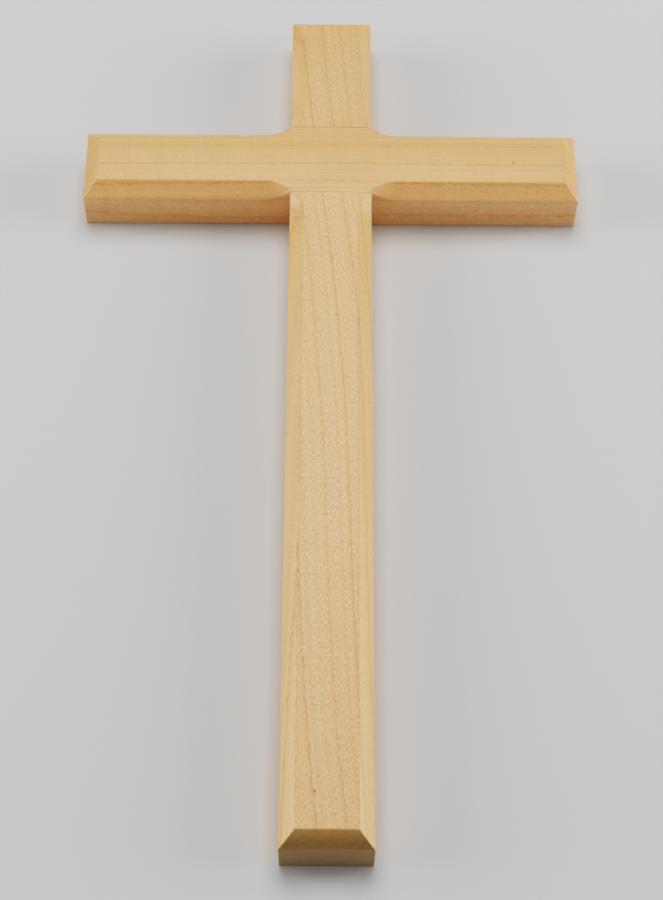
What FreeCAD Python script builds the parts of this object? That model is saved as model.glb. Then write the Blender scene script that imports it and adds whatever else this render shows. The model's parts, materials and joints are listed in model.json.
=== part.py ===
import FreeCAD, Part

import os
import re

import Sketcher

# A Latin cross of two hardwood bars, lying on its back.  The post and the crossbar are joined by a
# cross-halving joint at the crossing, glued, and then one 45 degree chamfer is routed round the whole
# front outline.  The router's guide bearing rolls along the edges and stops in each inner corner of the
# cross, so there the chamfer sweeps round the bearing's centre as part of a cone.
#
# Row frame: X along the crossbar, +Y up the post, +Z out of the front face; the back lies on Z = 0 and
# the origin is under the middle of the cross.  Each bar is drawn in its own frame, whose origin is the
# middle of the crossing on the back face, and its Placement puts it up the cross.

os.makedirs("parts", exist_ok=True)
doc = FreeCAD.newDocument("altar_cross")

# ---------------------------------------------------------------- driving dimensions, in millimetres

SIZES = (
    ("cross_length", 200.0, "foot to top of the post"),
    ("cross_span", 109.0, "tip to tip of the crossbar"),
    ("crossing_height", 158.2, "foot to the middle of the crossbar"),
    ("post_width", 18.0, "width of the post"),
    ("crossbar_width", 18.0, "width of the crossbar"),
    ("bar_thickness", 12.0, "back face to front face of both bars"),
    ("crossbar_tongue", 6.0, "wood left in the crossbar in front of its notch"),
    ("glue_thickness", 0.1, "dried glue between the two cheeks of the joint"),
    ("shoulder_gap", 0.05, "clearance between a bar's side and the shoulder of the other's notch"),
    ("chamfer_size", 3.0, "each leg of the 45 degree chamfer"),
    ("bearing_radius", 6.0, "guide bearing of the chamfer cutter"),
    ("cutter_overrun", 1.0, "how far a cutter's outline reaches past the wood"),
    ("hanging_hole_radius", 3.0, "blind hole in the back for a nail or a peg"),
    ("hanging_hole_depth", 7.0, "straight wall of the hanging hole"),
    ("hanging_hole_from_top", 12.0, "top of the post to the hole's centre"),
    ("drill_point_angle", 118.0, "included angle of the drill's point, in degrees"),
)

sizes = doc.addObject("Spreadsheet::Sheet", "sizes")
for row, (alias, value, meaning) in enumerate(SIZES, start=1):
    sizes.set("A%d" % row, alias)
    sizes.set("B%d" % row, str(value))
    sizes.set("C%d" % row, meaning)
    sizes.setAlias("B%d" % row, alias)
doc.recompute()


def bound(formula):
    """A formula over the sheet's aliases, as an expression that other objects can use."""
    for alias, _, _ in SIZES:
        formula = re.sub(r"\b%s\b" % alias, "sizes." + alias, formula)
    return formula


def value_of(formula):
    """The present value of a formula over the sheet's aliases."""
    return float(sizes.evalExpression(bound(formula)))


# Formulas that more than one piece uses.
CROSSING_UP_THE_CROSS = "crossing_height - cross_length / 2"
POST_FOOT = "-crossing_height"
POST_TOP = "cross_length - crossing_height"
POST_TONGUE = "bar_thickness - crossbar_tongue - glue_thickness"
CROSSBAR_NOTCH_ROOF = "bar_thickness - crossbar_tongue"
BEARING_STOP_X = "post_width / 2 + bearing_radius"
BEARING_STOP_Y = "crossbar_width / 2 + bearing_radius"


# ---------------------------------------------------------------- drawing and cutting


def new_bar(name):
    """An empty body whose origin is the middle of the crossing."""
    body = doc.addObject("PartDesign::Body", name)
    body.Label = name
    body.setExpression("Placement.Base.y", bound(CROSSING_UP_THE_CROSS))
    return body


def origin_plane(body, role):
    return next(feature for feature in body.Origin.OriginFeatures if feature.Role == role)


def new_sketch(body, name, role, offset=("0", "0", "0")):
    """A sketch on an origin plane of the body, moved by three formulas along the plane's own axes."""
    sketch = body.newObject("Sketcher::SketchObject", name)
    sketch.AttachmentSupport = [(origin_plane(body, role), "")]
    sketch.MapMode = "FlatFace"
    for direction, formula in zip("xyz", offset):
        if formula != "0":
            sketch.setExpression("AttachmentOffset.Base." + direction, bound(formula))
    return sketch


def draw_outline(sketch, corners):
    """A closed outline of straight lines.  Each corner is dimensioned from the sketch's origin by two
    formulas, across and up; a zero puts it on the axis."""
    points = [FreeCAD.Vector(value_of(across), value_of(up), 0) for across, up in corners]
    count = len(points)
    for i in range(count):
        sketch.addGeometry(Part.LineSegment(points[i], points[(i + 1) % count]), False)
    for i in range(count):
        sketch.addConstraint(Sketcher.Constraint("Coincident", i, 2, (i + 1) % count, 1))
    for i, (across, up) in enumerate(corners):
        for formula, distance, alignment in ((across, "DistanceX", "Vertical"), (up, "DistanceY", "Horizontal")):
            if formula == "0":
                sketch.addConstraint(Sketcher.Constraint(alignment, -1, 1, i, 1))
                continue
            place = sketch.addConstraint(Sketcher.Constraint(distance, -1, 1, i, 1, value_of(formula)))
            sketch.setExpression("Constraints[%d]" % place, bound(formula))


def draw_chamfer_triangle(sketch, edge):
    """What a 45 degree cutter takes off the front arris at the given place across the sketch.  The edge
    is a formula whose sign tells on which side of the sketch's origin the wood ends."""
    side = "-" if value_of(edge) < 0 else "+"
    inner = "-" if side == "+" else "+"
    draw_outline(sketch, (
        ("%s %s (chamfer_size + cutter_overrun)" % (edge, inner), "bar_thickness + cutter_overrun"),
        ("%s %s cutter_overrun" % (edge, side), "bar_thickness + cutter_overrun"),
        ("%s %s cutter_overrun" % (edge, side), "bar_thickness - chamfer_size - cutter_overrun"),
    ))


def pad_both_ways(body, sketch, width):
    pad = body.newObject("PartDesign::Pad", sketch.Name + "_pad")
    pad.Profile = sketch
    pad.SideType = "Symmetric"
    pad.setExpression("Length", bound(width))


def chamfer_end(body, name, role, edge):
    """Chamfers one end of a bar, right across its width."""
    sketch = new_sketch(body, name, role)
    draw_chamfer_triangle(sketch, edge)
    pocket = body.newObject("PartDesign::Pocket", name + "_cut")
    pocket.Profile = sketch
    pocket.SideType = "Symmetric"
    pocket.Type = "ThroughAll"
    return pocket


def mirror_cuts(body, name, cuts, roles):
    """Repeats cuts on the other side of one or two origin planes of the body."""
    mirrors = []
    pattern = body.newObject("PartDesign::MultiTransform", name)
    pattern.Originals = cuts
    for role in roles:
        mirror = body.newObject("PartDesign::Mirrored", "%s_about_%s" % (name, role))
        mirror.MirrorPlane = (origin_plane(body, role), [""])
        mirrors.append(mirror)
    pattern.Transformations = mirrors
    body.Tip = pattern


def chamfer_long_edges(body, name, role, edge, start, cone_offset_z):
    """Chamfers the four long edges of a bar's two arms, from its ends to where the guide bearing stops,
    and the cone that the cutter leaves round each of the four stops."""
    run = new_sketch(body, name + "_run", role, ("0", "0", start))
    draw_chamfer_triangle(run, edge)
    straight = body.newObject("PartDesign::Pocket", name + "_run_cut")
    straight.Profile = run
    straight.Reversed = True
    straight.Type = "ThroughAll"

    # The cutter's cone stands point down on the bearing's axis.  It has the bearing's radius at the
    # chamfer's low edge, where it only touches the two bars, and a chamfer more at the front face.
    outline = new_sketch(body, name + "_cone", "XZ_Plane", (BEARING_STOP_X, "0", cone_offset_z))
    draw_outline(outline, (
        ("0", "bar_thickness - chamfer_size - bearing_radius"),
        ("bearing_radius + chamfer_size + cutter_overrun", "bar_thickness + cutter_overrun"),
        ("0", "bar_thickness + cutter_overrun"),
    ))
    cone = body.newObject("PartDesign::Groove", name + "_cone_cut")
    cone.Profile = outline
    cone.ReferenceAxis = (outline, ["V_Axis"])
    cone.Angle = 360
    mirror_cuts(body, name + "_mirror", [straight, cone], ("YZ_Plane", "XZ_Plane"))


# ---------------------------------------------------------------- the post

# The upright bar, with the notch that takes the crossbar in its front face.
post = new_bar("post")
post_side = new_sketch(post, "post_side", "YZ_Plane")
draw_outline(post_side, (
    (POST_FOOT, "0"),
    (POST_TOP, "0"),
    (POST_TOP, "bar_thickness"),
    ("crossbar_width / 2 + shoulder_gap", "bar_thickness"),
    ("crossbar_width / 2 + shoulder_gap", POST_TONGUE),
    ("-crossbar_width / 2 - shoulder_gap", POST_TONGUE),
    ("-crossbar_width / 2 - shoulder_gap", "bar_thickness"),
    (POST_FOOT, "bar_thickness"),
))
pad_both_ways(post, post_side, "post_width")
chamfer_end(post, "foot_chamfer", "YZ_Plane", POST_FOOT)
chamfer_end(post, "top_chamfer", "YZ_Plane", POST_TOP)
chamfer_long_edges(post, "post_chamfer", "XZ_Plane", "post_width / 2", BEARING_STOP_Y, BEARING_STOP_Y)

# The hanging hole is drilled square into the back of the upper arm.
hole_mark = new_sketch(post, "hanging_hole_mark", "XY_Plane")
hole_up = POST_TOP + " - hanging_hole_from_top"
hole_centre = FreeCAD.Vector(0, value_of(hole_up), 0)
hole_mark.addGeometry(Part.Circle(hole_centre, FreeCAD.Vector(0, 0, 1), value_of("hanging_hole_radius")), False)
hole_mark.addConstraint(Sketcher.Constraint("PointOnObject", 0, 3, -2))
up = hole_mark.addConstraint(Sketcher.Constraint("DistanceY", -1, 1, 0, 3, value_of(hole_up)))
hole_mark.setExpression("Constraints[%d]" % up, bound(hole_up))
size = hole_mark.addConstraint(Sketcher.Constraint("Radius", 0, value_of("hanging_hole_radius")))
hole_mark.setExpression("Constraints[%d]" % size, bound("hanging_hole_radius"))
doc.recompute()
hanging_hole = post.newObject("PartDesign::Hole", "hanging_hole")
hanging_hole.Profile = hole_mark
hanging_hole.Reversed = True
hanging_hole.DepthType = "Dimension"
hanging_hole.DrillPoint = "Angled"
hanging_hole.setExpression("Diameter", bound("2 * hanging_hole_radius"))
hanging_hole.setExpression("Depth", bound("hanging_hole_depth"))
hanging_hole.setExpression("DrillPointAngle", bound("drill_point_angle"))

# ---------------------------------------------------------------- the crossbar

# The cross bar lies in front at the crossing and keeps its full front face there; the notch that takes
# the post is in its back.
crossbar = new_bar("crossbar")
crossbar_front = new_sketch(crossbar, "crossbar_edge", "XZ_Plane")
draw_outline(crossbar_front, (
    ("-cross_span / 2", "0"),
    ("-post_width / 2 - shoulder_gap", "0"),
    ("-post_width / 2 - shoulder_gap", CROSSBAR_NOTCH_ROOF),
    ("post_width / 2 + shoulder_gap", CROSSBAR_NOTCH_ROOF),
    ("post_width / 2 + shoulder_gap", "0"),
    ("cross_span / 2", "0"),
    ("cross_span / 2", "bar_thickness"),
    ("-cross_span / 2", "bar_thickness"),
))
pad_both_ways(crossbar, crossbar_front, "crossbar_width")
for end_name, end in (("left_end_chamfer", "-cross_span / 2"), ("right_end_chamfer", "cross_span / 2")):
    chamfer_end(crossbar, end_name, "XZ_Plane", end)
chamfer_long_edges(crossbar, "crossbar_chamfer", "YZ_Plane", "-crossbar_width / 2", BEARING_STOP_X, BEARING_STOP_Y)

# ---------------------------------------------------------------- the glue in the joint

# The dried glue fills the thin space between the post's tongue and the crossbar's.
glue = doc.addObject("Part::Box", "lap_glue_film")
glue.Label = "lap_glue_film"
glue.setExpression("Length", bound("post_width"))
glue.setExpression("Width", bound("crossbar_width"))
glue.setExpression("Height", bound("glue_thickness"))
glue.setExpression("Placement.Base.x", bound("-post_width / 2"))
glue.setExpression("Placement.Base.y", bound(CROSSING_UP_THE_CROSS + " - crossbar_width / 2"))
glue.setExpression("Placement.Base.z", bound(POST_TONGUE))

# ---------------------------------------------------------------- checks and export

doc.recompute()
for item in doc.Objects:
    if "Invalid" in item.State or "Error" in item.State:
        raise RuntimeError("%s did not compute: %s" % (item.Name, item.State))

# A cut that points away from the wood changes nothing, so each one has to take some wood off.
for bar in (post, crossbar):
    for feature in bar.Group:
        base = getattr(feature, "BaseFeature", None)
        if base is not None and feature.Shape.Volume > base.Shape.Volume - 1.0:
            raise RuntimeError("%s takes no wood off" % feature.Name)

for piece in (post, crossbar, glue):
    if piece.Shape.isNull() or not piece.Shape.isValid():
        raise RuntimeError("%s has no valid shape" % piece.Label)
    piece.Shape.exportStep("parts/%s.step" % piece.Label)
    print("%s: %.2f mm3, %d solid" % (piece.Label, piece.Shape.Volume, len(piece.Shape.Solids)))
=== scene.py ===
import json
import math

import bpy
from mathutils import Matrix, Vector


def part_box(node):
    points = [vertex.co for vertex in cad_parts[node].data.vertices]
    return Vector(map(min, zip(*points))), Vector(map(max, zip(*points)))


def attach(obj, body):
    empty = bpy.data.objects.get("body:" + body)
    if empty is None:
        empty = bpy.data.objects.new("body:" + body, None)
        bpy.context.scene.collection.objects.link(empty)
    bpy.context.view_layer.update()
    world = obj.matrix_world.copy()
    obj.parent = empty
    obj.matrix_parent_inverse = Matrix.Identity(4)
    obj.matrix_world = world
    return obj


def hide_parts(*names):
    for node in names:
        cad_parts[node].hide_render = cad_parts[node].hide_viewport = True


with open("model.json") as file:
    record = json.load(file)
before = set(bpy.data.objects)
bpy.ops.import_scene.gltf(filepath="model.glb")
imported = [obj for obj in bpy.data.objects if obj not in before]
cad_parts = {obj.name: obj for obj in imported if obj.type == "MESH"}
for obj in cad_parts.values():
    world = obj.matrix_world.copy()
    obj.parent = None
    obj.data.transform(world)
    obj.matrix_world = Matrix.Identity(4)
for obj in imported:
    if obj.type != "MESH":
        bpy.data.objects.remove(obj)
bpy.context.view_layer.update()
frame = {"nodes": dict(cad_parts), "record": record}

# A Latin cross in hard maple, lying on its back.  Everything is in metres in the part's own frame:
# X along the crossbar, +Y up the post, +Z out of the front face, the back on Z = 0.

MM = 0.001

# ---------------------------------------------------------------- sizes that the boxes don't give

CHAMFER = 3.0 * MM           # each leg of the chamfer on the front outline
BEARING_RADIUS = 6.0 * MM    # guide bearing of the chamfer cutter
CUTTER_OVERRUN = 0.5 * MM    # how far the cutter's section reaches past the wood
EASED_ARRIS = 0.22 * MM      # sanding rounds every outer edge by about this much
SHOULDER_GAP = 0.05 * MM     # clearance at the shoulders of the lap joint
SIDE_SLIP = 0.01 * MM        # keeps two cut faces from falling in one plane
MERGE_DISTANCE = 0.002 * MM  # corners closer than this become one

post_low, post_high = (Vector(corner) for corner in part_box("post"))
bar_low, bar_high = (Vector(corner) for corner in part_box("crossbar"))
glue_low, glue_high = (Vector(corner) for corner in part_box("lap_glue_film"))

BACK = post_low.z
FRONT = post_high.z
CROSSING = Vector(((post_low.x + post_high.x) / 2, (bar_low.y + bar_high.y) / 2, 0.0))
POST_HALF = (post_high.x - post_low.x) / 2
BAR_HALF = (bar_high.y - bar_low.y) / 2

# The hanging hole's place comes from the record's mount.
hanging_hole = next(m for m in frame["record"]["mounts"] if m["name"] == "hanging_hole")
HOLE_RADIUS = hanging_hole["dims"]["r_mm"] * MM
HOLE_DEPTH = hanging_hole["dims"]["length_mm"] * MM
DRILL_POINT = math.radians(118.0)
DRILL_POINT_HEIGHT = HOLE_RADIUS / math.tan(DRILL_POINT / 2)


# ---------------------------------------------------------------- modelling by hand


def only(piece):
    """Selects one object alone and makes it active."""
    bpy.ops.object.select_all(action="DESELECT")
    piece.select_set(True)
    bpy.context.view_layer.objects.active = piece


def named(name):
    """Names the object just added and puts its place into its mesh."""
    piece = bpy.context.active_object
    piece.name = name
    only(piece)
    bpy.ops.object.transform_apply(location=True, rotation=True, scale=True)
    return piece


def block(name, low, high):
    """A box between two corners."""
    middle = [(a + b) / 2 for a, b in zip(low, high)]
    size = [b - a for a, b in zip(low, high)]
    bpy.ops.mesh.primitive_cube_add(size=1, location=middle, scale=size)
    return named(name)


def select_faces(piece, wanted):
    """In edit mode, selects the faces for which wanted(face) is true."""
    bpy.ops.mesh.select_mode(type="FACE")
    bpy.ops.mesh.select_all(action="DESELECT")
    bpy.ops.object.mode_set(mode="OBJECT")
    for face in piece.data.polygons:
        face.select = wanted(face)
    bpy.ops.object.mode_set(mode="EDIT")


def pull_side(piece, middle, direction, distance):
    """Extrudes the side of the middle block that faces a direction by a distance."""
    side = Vector(direction)

    def on_the_middle_block(face):
        sideways = (face.center - middle).cross(side)
        faces_that_way = face.normal.dot(side) > 0.99
        return faces_that_way and sideways.length < 0.01 * MM

    bpy.ops.object.mode_set(mode="EDIT")
    select_faces(piece, on_the_middle_block)
    bpy.ops.mesh.extrude_region_move(TRANSFORM_OT_translate={"value": side * distance})
    bpy.ops.object.mode_set(mode="OBJECT")


def cut_off(piece, point, normal):
    """Saws off what lies on the normal's side of a plane and closes the cut."""
    only(piece)
    bpy.ops.object.mode_set(mode="EDIT")
    bpy.ops.mesh.select_all(action="SELECT")
    bpy.ops.mesh.bisect(plane_co=point, plane_no=normal, use_fill=True, clear_outer=True, threshold=1e-7)
    bpy.ops.object.mode_set(mode="OBJECT")


def finish_with(piece, kind, **settings):
    """Adds a modifier with its settings and applies it."""
    only(piece)
    modifier = piece.modifiers.new(kind.title(), kind)
    for name, value in settings.items():
        setattr(modifier, name, value)
    bpy.ops.object.modifier_apply(modifier=modifier.name)


def carve(piece, tool):
    finish_with(piece, "BOOLEAN", object=tool, operation="DIFFERENCE", solver="EXACT")


def throw_away(*tools):
    for tool in tools:
        bpy.data.objects.remove(tool)


def tidy_mesh(piece):
    """Merges doubles and joins the flat faces that a cut has left in pieces."""
    only(piece)
    bpy.ops.object.mode_set(mode="EDIT")
    bpy.ops.mesh.select_all(action="SELECT")
    bpy.ops.mesh.remove_doubles(threshold=MERGE_DISTANCE)
    bpy.ops.mesh.dissolve_limited(angle_limit=math.radians(0.3))
    bpy.ops.mesh.normals_make_consistent(inside=False)
    bpy.ops.object.mode_set(mode="OBJECT")


def copy_of(piece, name):
    twin = piece.copy()
    twin.data = piece.data.copy()
    twin.name = name
    bpy.context.collection.objects.link(twin)
    return twin


# ---------------------------------------------------------------- the cross, glued up and routed


def glued_up_blank():
    """The square-edged cross: a block at the crossing with its four sides pulled out into arms."""
    blank = block(
        "blank",
        (CROSSING.x - POST_HALF, CROSSING.y - BAR_HALF, BACK),
        (CROSSING.x + POST_HALF, CROSSING.y + BAR_HALF, FRONT),
    )
    only(blank)
    middle = CROSSING + Vector((0, 0, (BACK + FRONT) / 2))
    pull_side(blank, middle, (0, -1, 0), bar_low.y - post_low.y)
    pull_side(blank, middle, (0, 1, 0), post_high.y - bar_high.y)
    pull_side(blank, middle, (-1, 0, 0), post_low.x - bar_low.x)
    pull_side(blank, middle, (1, 0, 0), bar_high.x - post_high.x)
    return blank


def router_passes():
    """What the chamfer cutter sweeps: along an arm, round the stop of its guide bearing in the inner
    corner, and along the next arm, in all four corners.  Its section is a square stood on one corner,
    whose lower side is the chamfer.  Drawn round the crossing, for the corner at +X -Y."""
    section = CHAMFER + 2 * CUTTER_OVERRUN
    stop_x = POST_HALF + BEARING_RADIUS
    stop_y = -BAR_HALF - BEARING_RADIUS
    arm_reach = 1.1 * (post_high.y - post_low.y)
    bpy.ops.mesh.primitive_plane_add(size=section * math.sqrt(2), rotation=(math.radians(90), 0, 0))
    cutter = named("router_passes")
    bpy.ops.object.mode_set(mode="EDIT")
    bpy.ops.mesh.select_mode(type="EDGE")
    bpy.ops.mesh.delete(type="ONLY_FACE")
    bpy.ops.mesh.select_all(action="SELECT")
    bpy.ops.transform.rotate(value=math.radians(45), orient_axis="Y", center_override=(0, 0, 0))
    # The square's lowest corner and the one towards the wood end up on the chamfer's slope.
    bpy.ops.transform.translate(value=(
        POST_HALF + CUTTER_OVERRUN,
        stop_y - arm_reach,
        FRONT + CUTTER_OVERRUN,
    ))
    bpy.ops.mesh.extrude_region_move(TRANSFORM_OT_translate={"value": (0, arm_reach, 0)})
    bpy.ops.mesh.spin(steps=24, angle=math.radians(90), center=(stop_x, stop_y, 0), axis=(0, 0, 1))
    bpy.ops.mesh.extrude_region_move(TRANSFORM_OT_translate={"value": (arm_reach, 0, 0)})
    bpy.ops.mesh.select_all(action="SELECT")
    bpy.ops.mesh.remove_doubles(threshold=MERGE_DISTANCE / 2)
    bpy.ops.mesh.fill_holes(sides=4)
    bpy.ops.mesh.normals_make_consistent(inside=False)
    bpy.ops.object.mode_set(mode="OBJECT")
    finish_with(cutter, "MIRROR", use_axis=(True, True, False), use_mirror_merge=False)
    cutter.location = CROSSING
    only(cutter)
    bpy.ops.object.transform_apply(location=True)
    return cutter


def routed_cross():
    """The blank, chamfered round the whole front outline and sanded."""
    cross = glued_up_blank()
    cutter = router_passes()
    carve(cross, cutter)
    throw_away(cutter)
    low = FRONT - CHAMFER
    cut_off(cross, (0, post_low.y, low), (0, -1, 1))
    cut_off(cross, (0, post_high.y, low), (0, 1, 1))
    cut_off(cross, (bar_low.x, 0, low), (-1, 0, 1))
    cut_off(cross, (bar_high.x, 0, low), (1, 0, 1))
    tidy_mesh(cross)
    finish_with(cross, "BEVEL", width=EASED_ARRIS, segments=3, limit_method="ANGLE",
                angle_limit=math.radians(25), use_clamp_overlap=False)
    return cross


# ---------------------------------------------------------------- the lap joint takes it apart


def drill_bit():
    """A drill that stands in the hanging hole: a cylinder whose inner end is drawn to a point."""
    mouth = Vector(hanging_hole["pos_m"]) + Vector(hanging_hole["axis"]) * HOLE_DEPTH / 2
    shank = 2.0 * MM
    bpy.ops.mesh.primitive_cylinder_add(
        vertices=64, radius=HOLE_RADIUS, depth=HOLE_DEPTH + shank,
        location=(mouth.x, mouth.y, mouth.z + (HOLE_DEPTH - shank) / 2),
    )
    bit = named("drill_bit")
    inner_end = mouth.z + HOLE_DEPTH
    bpy.ops.object.mode_set(mode="EDIT")
    select_faces(bit, lambda face: face.center.z > inner_end - 1e-6)
    bpy.ops.mesh.extrude_region_move(TRANSFORM_OT_translate={"value": (0, 0, DRILL_POINT_HEIGHT)})
    bpy.ops.mesh.merge(type="CENTER")
    bpy.ops.object.mode_set(mode="OBJECT")
    return bit


def make_crossbar(cross):
    """The crossbar: the cross less the post's two arms, and less the notch that takes the post."""
    crossbar = copy_of(cross, "crossbar_maple")
    cuts = (
        block("lower_arm", (post_low.x - CHAMFER, post_low.y - CHAMFER, BACK - CHAMFER),
              (post_high.x + CHAMFER, bar_low.y + SIDE_SLIP, FRONT + CHAMFER)),
        block("upper_arm", (post_low.x - CHAMFER, bar_high.y - SIDE_SLIP, BACK - CHAMFER),
              (post_high.x + CHAMFER, post_high.y + CHAMFER, FRONT + CHAMFER)),
        block("notch", (post_low.x - SHOULDER_GAP, bar_low.y - CHAMFER, BACK - CHAMFER),
              (post_high.x + SHOULDER_GAP, bar_high.y + CHAMFER, glue_high.z)),
    )
    for cut in cuts:
        carve(crossbar, cut)
    throw_away(*cuts)
    return crossbar


def make_post(cross):
    """The post: the cross less a saddle as wide as the crossbar, which leaves the post's tongue."""
    post = copy_of(cross, "post_maple")
    notch_low = bar_low.y - SHOULDER_GAP
    notch_high = bar_high.y + SHOULDER_GAP
    saddle = block("saddle", (bar_low.x - CHAMFER, notch_low, BACK - CHAMFER),
                   (bar_high.x + CHAMFER, notch_high, FRONT + CHAMFER))
    tongue = block("tongue", (post_low.x + SIDE_SLIP, notch_low - CHAMFER, BACK - 2 * CHAMFER),
                   (post_high.x - SIDE_SLIP, notch_high + CHAMFER, glue_low.z))
    bit = drill_bit()
    carve(saddle, tongue)
    carve(post, saddle)
    carve(post, bit)
    throw_away(saddle, tongue, bit)
    return post


cross = routed_cross()
post = make_post(cross)
crossbar = make_crossbar(cross)
throw_away(cross)
for bar, node in ((post, "post"), (crossbar, "crossbar")):
    tidy_mesh(bar)
    bpy.ops.object.shade_smooth_by_angle(angle=math.radians(20))
    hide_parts(node)
    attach(bar, "root")


# ---------------------------------------------------------------- materials


def linear(hex_colour):
    """An sRGB hex colour such as "#d6ba8b" as linear RGBA."""
    channels = (int(hex_colour[i:i + 2], 16) / 255 for i in (1, 3, 5))
    return tuple(c / 12.92 if c <= 0.04045 else ((c + 0.055) / 1.055) ** 2.4 for c in channels) + (1.0,)


def add(tree, kind, inputs=(), **settings):
    """Adds a node, sets its properties, and fills its inputs, in order or by name, with links or with
    values.  Gives back its outputs.  The property "stops" is a colour ramp's places and greys."""
    node = tree.nodes.new("ShaderNode" + kind)
    stops = settings.pop("stops", ())
    for name, value in settings.items():
        setattr(node, name, value)
    for place, _ in stops[2:]:
        node.color_ramp.elements.new(place)
    for index, (place, grey) in enumerate(stops):
        node.color_ramp.elements[index].position = place
        node.color_ramp.elements[index].color = (grey, grey, grey, 1.0)
    for name, value in inputs.items() if isinstance(inputs, dict) else enumerate(inputs):
        if isinstance(value, bpy.types.NodeSocket):
            tree.links.new(value, node.inputs[name])
        else:
            node.inputs[name].default_value = value
    return node.outputs


def new_material(name):
    material = bpy.data.materials.new(name)
    material.use_nodes = True
    material.node_tree.nodes.clear()
    return material


def clothe(piece, material):
    piece.data.materials.clear()
    piece.data.materials.append(material)


FLECK_LIGHT = "#e6c299"      # between the flecks
FLECK_DARK = "#cfa377"       # in them
RING_LINE = "#c0813c"        # where a growth ring ends
WARM = "#e6b681"             # a warmer tone, which comes and goes slowly, and is painted stronger on faces turned up to the light than on the sides
PIN_KNOT = "#9a6430"
END_GRAIN_OIL_AND_SHADE_SLANTWISE = "#a8a87c"  # the share of light that end grain gives back where it is cut slantwise, darkened partly by the oil it takes up and partly as painted shade
END_GRAIN_OIL_AND_SHADE_SQUARELY = "#b8c0be"   # and where it is cut square, darkened the same way
CUT_END = (0.52, 0.70)       # share of a face's normal along the grain from where it is end grain
SQUARE_ON = (0.75, 0.95)     # and from where it faces straight along an axis
TURNED_UP = (0.3, 0.6)       # and from where it faces up enough to get the full painted warmth of a face in the light
STREAK = 0.7                 # mm from one fine streak of tone to the next, across the rings
SATIN = (0.38, 0.5)          # roughness between the flecks and in them
KNOT_RADII = (0.12, 0.4)     # mm, of a pin knot's dark heart and of its rim

# A growth ring from its start to its end, as shares of its width, and how strong its line is there.
LINE_PEAK = 0.965
LATE_WOOD = ((0.0, 0.15), (0.03, 0.0), (0.7, 0.0), (0.92, 0.2), (LINE_PEAK, 1.0), (1.0, 0.15))

# The wood's noises: how far each reaches in mm across, along and up, and its levels of detail.  Real
# vessels in maple are only about 0.07 mm wide, so the fleck is drawn some three times as coarse to show.
# A noise lies mostly between 0.3 and 0.7, and hard_maple stretches that range to what it needs.
NOISES = {
    "fleck": ((0.24, 0.75, 0.24), 2.0),    # what vessels and rays leave on a sanded face
    "worn": ((0.5, 1.6, 0.5), 1.0),        # gaps in the ring lines
    "ragged": ((0.8, 2.4, 0.8), 1.0),      # how unevenly a ring line runs
    "stray": ((22.0, 70.0, 22.0), 1.0),    # how slowly the rings stray from true shells
    "drift": ((12.0, 60.0, 12.0), 1.0),    # a change of tone
    "curl": ((9.0, 3.0, 9.0), 1.0),        # ripples of the figure, which run across the grain
}
SHIFTS = (("stray", 1.6), ("ragged", 0.5))  # the mm by which two of them move a ring


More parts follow.
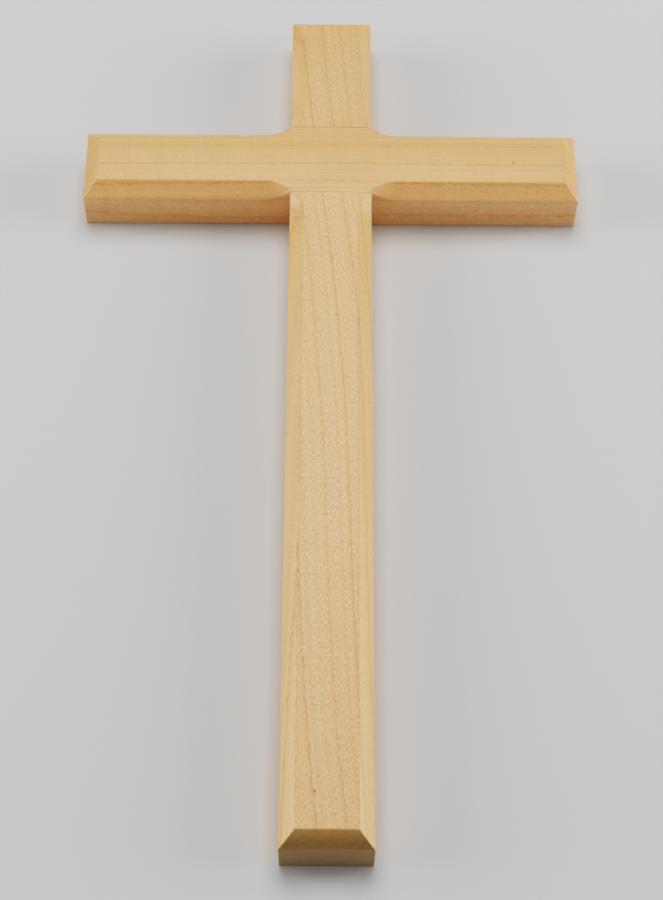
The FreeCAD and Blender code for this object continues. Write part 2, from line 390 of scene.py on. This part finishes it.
def hard_maple(name, turn, middle, lean, sway, pith, ring, lined, flecked, curl, warmth, oil_and_shade_at_ends, pin_knot):
    """Hard maple, planed, sanded fine and wiped with a thin satin oil.  The eye gets a pale honey ground
    under a dense fleck of pores and rays, thin tan lines where the growth rings end, a faint ripple
    across the grain, and end grain that is darker, partly for the oil it takes up and partly as painted
    shade.

    The wood is solid: its rings are shells round a pith line beside the bar, so every face shows the
    cut that a saw would make there.  Grain space is in mm, with Y along the grain, Z up and X = 0 on the
    bar's middle line; turn, in degrees about Z, and middle bring the part's axes there.  The grain leans
    by lean mm across for each mm along, and sways by sway = (mm, length of a sway, its start).  pith is
    the pith line's X and Z.  ring is the width of a ring and the radius at which one of them ends.
    lined and curl are how strong the ring lines and the ripple are.  flecked is the strength of the
    fleck on the chamfers and sides, and on the front and back.  warmth is how far the ground goes to
    the warmer tone on faces turned up; the sides get less, as painted shade.  oil_and_shade_at_ends is
    how much the two ends are darkened, from 0 to 1, partly for the oil that end grain takes up and partly
    as painted shade.  pin_knot is the place of one small knot, in the part's mm."""
    sway_reach, sway_length, sway_start = sway
    ring_width, ring_end = ring
    material = new_material(name)
    tree = material.node_tree
    place = add(tree, "TexCoord")
    turned = (0, 0, math.radians(turn))
    grain = add(tree, "Mapping", {0: place["Object"], "Location": (middle, 0, 0), "Rotation": turned,
                                  "Scale": (1 / MM,) * 3})[0]
    facing = add(tree, "Mapping", {0: place["Normal"], "Rotation": turned}, vector_type="VECTOR")[0]
    facing = add(tree, "VectorMath", [facing], operation="ABSOLUTE")[0]
    facing = add(tree, "SeparateXYZ", [facing])
    noise = {}
    for pattern, (size, detail) in NOISES.items():
        stretched = add(tree, "Mapping", {0: grain, "Scale": size}, vector_type="TEXTURE")[0]
        noise[pattern] = add(tree, "TexNoise", {"Vector": stretched, "Scale": 1.0, "Detail": detail})

    # Where a point lies in the tree: across the grain, less the lean, the sway and the straying.
    across, along, up = add(tree, "SeparateXYZ", [grain])
    bend = math.tau / sway_length
    swing = add(tree, "Math", [along, bend, bend * sway_start], operation="MULTIPLY_ADD")[0]
    swing = add(tree, "Math", [swing], operation="SINE")[0]
    across = add(tree, "Math", [along, -lean, across], operation="MULTIPLY_ADD")[0]
    across = add(tree, "Math", [swing, -sway_reach, across], operation="MULTIPLY_ADD")[0]
    shell = add(tree, "CombineXYZ", {"X": across, "Z": up})[0]
    for pattern, reach in SHIFTS:
        shift = add(tree, "VectorMath", [noise[pattern]["Color"], (0.5,) * 3], operation="SUBTRACT")[0]
        shell = add(tree, "VectorMath", [shift, (reach, 0, reach), shell], operation="MULTIPLY_ADD")[0]
    radius = add(tree, "VectorMath", [shell, (pith[0], 0, pith[1])], operation="DISTANCE")["Value"]

    # The late wood at the end of a ring: a tan line, stronger in some years, worn through in places.
    first = LINE_PEAK - ring_end / ring_width
    rings = add(tree, "Math", [radius, 1 / ring_width, first], operation="MULTIPLY_ADD")[0]
    in_ring = add(tree, "Math", [rings], operation="FRACT")[0]
    late = add(tree, "ValToRGB", [in_ring], stops=LATE_WOOD)[0]
    worn = add(tree, "MapRange", [noise["worn"][0], 0.35, 0.6, 0.35, 1.0])[0]
    late = add(tree, "Math", [late, worn], operation="MULTIPLY")[0]

    # The ground: a drift to the warm tone, and painted shading that gives the sides less of it than the
    # faces turned up to the light; then the fleck, and the ring lines.
    fleck = add(tree, "MapRange", [noise["fleck"][0], 0.36, 0.64, -0.5, 0.5])[0]
    strength = add(tree, "MapRange", [facing["Z"], *SQUARE_ON, *flecked])[0]
    fleck = add(tree, "Math", [fleck, strength, 0.5], operation="MULTIPLY_ADD", use_clamp=True)[0]
    # Painted shading: the sides get less of the warm tone than faces turned up to the light.
    painted_warmth_by_facing = add(tree, "MapRange", [facing["Z"], *TURNED_UP, warmth - 0.75, warmth - 0.15])[0]
    drift = add(tree, "MapRange", [noise["drift"][0], 0.3, 0.7, 0.0, 0.3])[0]
    drift = add(tree, "Math", [drift, painted_warmth_by_facing], operation="ADD", use_clamp=True)[0]
    line = add(tree, "MapRange", [facing["Y"], *CUT_END, lined, lined / 3])[0]
    line = add(tree, "Math", [late, line], operation="MULTIPLY")[0]
    wood = linear(FLECK_LIGHT)
    for share, colour in ((drift, WARM), (fleck, FLECK_DARK), (line, RING_LINE)):
        wood = add(tree, "Mix", {0: share, 6: wood, 7: linear(colour)}, data_type="RGBA")[2]

    # Fine streaks along the rings, and ripple across them.
    fine = add(tree, "Math", [radius, 1 / STREAK], operation="MULTIPLY")[0]
    streak = add(tree, "TexNoise", {"W": fine, "Scale": 1.0, "Detail": 2.0}, noise_dimensions="1D")[0]
    streak = add(tree, "MapRange", [streak, 0.3, 0.7, 0.96, 1.04])[0]
    ripple = add(tree, "MapRange", [noise["curl"][0], 0.25, 0.75, 1.0 - curl, 1.0 + curl])[0]
    for shade in (streak, ripple):
        wood = add(tree, "VectorMath", [wood, shade], operation="MULTIPLY")[0]

    # End grain, darkened partly by the oil it takes up and partly as painted shade, and the knot.
    cut = add(tree, "MapRange", [facing["Y"], *CUT_END, 0.0, 1.0])[0]
    squarely = add(tree, "MapRange", [facing["Y"], *SQUARE_ON, 0.0, 1.0])[0]
    # The ends are darkened partly for the oil that end grain takes up and partly as painted shade, most at
    # the post's foot.
    oil_and_shade_share = add(tree, "MapRange", [along, -1.0, 1.0, *oil_and_shade_at_ends])[0]
    oil_and_shade_share = add(tree, "Math", [oil_and_shade_share, cut], operation="MULTIPLY")[0]
    oil_and_shade_tones = {6: linear(END_GRAIN_OIL_AND_SHADE_SLANTWISE), 7: linear(END_GRAIN_OIL_AND_SHADE_SQUARELY)}
    oil = add(tree, "Mix", {0: squarely, **oil_and_shade_tones}, data_type="RGBA")[2]
    oil = add(tree, "Mix", {0: oil_and_shade_share, 6: linear("#ffffff"), 7: oil}, data_type="RGBA")[2]
    wood = add(tree, "VectorMath", [wood, oil], operation="MULTIPLY")[0]
    spot = Vector(pin_knot) * MM
    from_knot = add(tree, "VectorMath", [place["Object"], spot], operation="DISTANCE")["Value"]
    heart, rim = (distance * MM for distance in KNOT_RADII)
    knot = add(tree, "MapRange", [from_knot, heart, rim, 0.8, 0.0])[0]
    wood = add(tree, "Mix", {0: knot, 6: wood, 7: linear(PIN_KNOT)}, data_type="RGBA")[2]

    # Open vessels and the harder late wood leave a hint of relief that sanding doesn't take away.
    relief = add(tree, "Math", [fleck, -0.7, late], operation="MULTIPLY_ADD")[0]
    bump = add(tree, "Bump", {"Strength": 0.3, "Distance": 0.02 * MM, "Height": relief})[0]
    gloss = add(tree, "MapRange", [fleck, 0.0, 1.0, *SATIN])[0]
    oil_film = {"Coat Weight": 0.15, "Coat Roughness": 0.35}
    surface = {"Base Color": wood, "Roughness": gloss, "IOR": 1.5, "Normal": bump, **oil_film}
    shader = add(tree, "BsdfPrincipled", surface)[0]
    add(tree, "OutputMaterial", {"Surface": shader})
    return material


# The post is rift sawn, so its rings lie slantwise in it, and its ends are darkened most at the foot,
# which faces away from the light: partly oil in the end grain, partly painted shade.  The crossbar is
# nearly quarter sawn and lies across, and its ends are darkened much less and stay pale.
clothe(post, hard_maple(
    "hard_maple_post", turn=0.0, middle=0.0, lean=-0.075, sway=(0.97, 160.0, 30.0),
    pith=(-18.0, 27.0), ring=(3.6, 21.4), lined=0.55, flecked=(0.45, 0.92), curl=0.015,
    warmth=0.5, oil_and_shade_at_ends=(1.0, 0.5), pin_knot=(-2.3, -89.7, 12.0),
))
clothe(crossbar, hard_maple(
    "hard_maple_crossbar", turn=90.0, middle=CROSSING.y / MM, lean=0.0, sway=(0.45, 180.0, -45.0),
    pith=(-51.0, -10.0), ring=(4.7, 61.7), lined=0.5, flecked=(0.45, 0.4), curl=0.02,
    warmth=0.85, oil_and_shade_at_ends=(0.25, 0.0), pin_knot=(40.4, 57.6, 12.0),
))


def wood_glue():
    """Dried yellow wood glue: a cream film, a little glossy, uneven where it was squeezed out."""
    material = new_material("dried_wood_glue")
    tree = material.node_tree
    cloud = 2.0 * MM
    place = add(tree, "TexCoord")["Object"]
    cloudy = add(tree, "TexNoise", {"Vector": place, "Scale": 1 / cloud, "Detail": 2.0})[0]
    cream = add(tree, "Mix", {0: cloudy, 6: linear("#e0cf9f"), 7: linear("#cdb47c")}, data_type="RGBA")[2]
    bump = add(tree, "Bump", {"Strength": 0.3, "Distance": 0.03 * MM, "Height": cloudy})[0]
    surface = {"Base Color": cream, "Roughness": 0.3, "IOR": 1.47, "Normal": bump}
    shader = add(tree, "BsdfPrincipled", surface)[0]
    add(tree, "OutputMaterial", {"Surface": shader})
    return material


clothe(frame["nodes"]["lap_glue_film"], wood_glue())


def pale_paper():
    """A sheet of matt background paper, near white."""
    material = new_material("pale_paper")
    tree = material.node_tree
    shader = add(tree, "BsdfPrincipled", {"Base Color": linear("#d0d0d0"), "Roughness": 0.9})[0]
    add(tree, "OutputMaterial", {"Surface": shader})
    return material


# ---------------------------------------------------------------- floor, light and camera

FLOOR_RADIUS = 0.55
WALL_GLOW = 0.62
CEILING_GLOW = 0.2
WALLS_END = (0.2, 0.35)      # the height in the room, as a sine, over which walls give way to ceiling

bpy.ops.mesh.primitive_circle_add(vertices=128, radius=FLOOR_RADIUS, fill_type="NGON", location=(0, 0, BACK))
floor = named("floor")
clothe(floor, pale_paper())


def softbox(name, place, size, power):
    """A softbox that faces the cross; the camera doesn't see it."""
    bpy.ops.object.light_add(type="AREA", location=place)
    light = bpy.context.active_object
    light.name = name
    light.data.shape = "RECTANGLE"
    light.data.size, light.data.size_y = size
    light.data.energy = power
    light.rotation_euler = (-Vector(place)).to_track_quat("-Z", "Y").to_euler()
    light.visible_camera = False


softbox("softbox_above", (0.0, 0.34, 0.84), (0.6, 0.6), 4.5)
softbox("softbox_left", (-0.85, 0.05, 0.31), (0.6, 0.4), 3.4)
softbox("softbox_right", (0.85, 0.05, 0.31), (0.6, 0.4), 3.6)
softbox("softbox_before", (0.0, -0.95, 0.18), (0.6, 0.3), 0.98)

# The room: dim overhead, with pale walls that stand up a little way round the floor.
world = bpy.data.worlds.new("white_room")
bpy.context.scene.world = world
world.use_nodes = True
room = world.node_tree
room.nodes.clear()
direction = add(room, "TexCoord")["Generated"]
height = add(room, "SeparateXYZ", [direction])["Z"]
glow = add(room, "MapRange", [height, *WALLS_END, WALL_GLOW, CEILING_GLOW])[0]
background = add(room, "Background", {"Color": linear("#ffffff"), "Strength": glow})[0]
add(room, "OutputWorld", {"Surface": background})

scene = bpy.context.scene
scene.view_settings.view_transform = "Standard"
scene.view_settings.look = "None"


PAPER_WHITE = 0.95
HALF_LIGHT = 0.46            # the light that comes out half as bright as the paper's white
CONTRAST = 1.97


def print_response(light):
    """How a print on paper answers to light: shades deepened, lights eased off towards white."""
    return PAPER_WHITE * light ** CONTRAST / (light ** CONTRAST + HALF_LIGHT ** CONTRAST)


scene.view_settings.use_curve_mapping = True
response = scene.view_settings.curve_mapping
response.extend = "EXTRAPOLATED"
for light in (0.1, 0.2, 0.3, 0.45, 0.6, 0.8):
    response.curves[3].points.new(light, print_response(light))
response.curves[3].points[-1].location = (1.0, print_response(1.0))
response.update()

# The camera looks down at the cross from beyond its foot, 59.6 degrees above the floor.
CAMERA_PLACE = (-0.00084, -0.23259, 0.38028)
LENS = 84.1                  # mm, on a sensor 36 mm wide
HEADING = -0.00605           # radians, as are the next two
TILT = 0.53094
ROLL = 0.01248

bpy.ops.object.camera_add(location=CAMERA_PLACE)
camera = bpy.context.active_object
camera.name = "camera"
camera.data.sensor_width = 36.0
camera.data.lens = LENS
camera.rotation_euler = (
    Matrix.Rotation(HEADING, 3, "Z") @ Matrix.Rotation(TILT, 3, "X") @ Matrix.Rotation(ROLL, 3, "Z")
).to_euler()
scene.camera = camera
